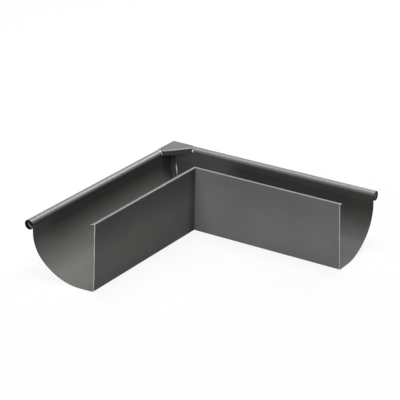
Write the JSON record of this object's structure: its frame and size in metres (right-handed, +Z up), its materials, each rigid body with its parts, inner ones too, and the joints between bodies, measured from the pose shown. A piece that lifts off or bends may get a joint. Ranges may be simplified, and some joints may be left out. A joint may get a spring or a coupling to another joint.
{
  "type": "gutter angle",
  "caption": "Outside corner piece for a roof gutter: mitred troughs of folded coated steel with a flat back, a curved front, a rolled bead and a cap over the bead's corner.",
  "frame": {"origin": "corner line of the house, at the level of the trough's lowest line", "axes": "+X along the right arm's back wall, -Y along the left arm's back wall, +Z up"},
  "size_m": [0.4148, 0.4169, 0.1183],
  "materials": {
    "coated_steel": "graphite grey coating, semi-matt with a soft sheen"
  },
  "bodies": {
    "root": {"gutter_arm_right": "coated_steel", "gutter_arm_left": "coated_steel", "bead_corner_cap": "coated_steel"}
  },
  "joints": []
}
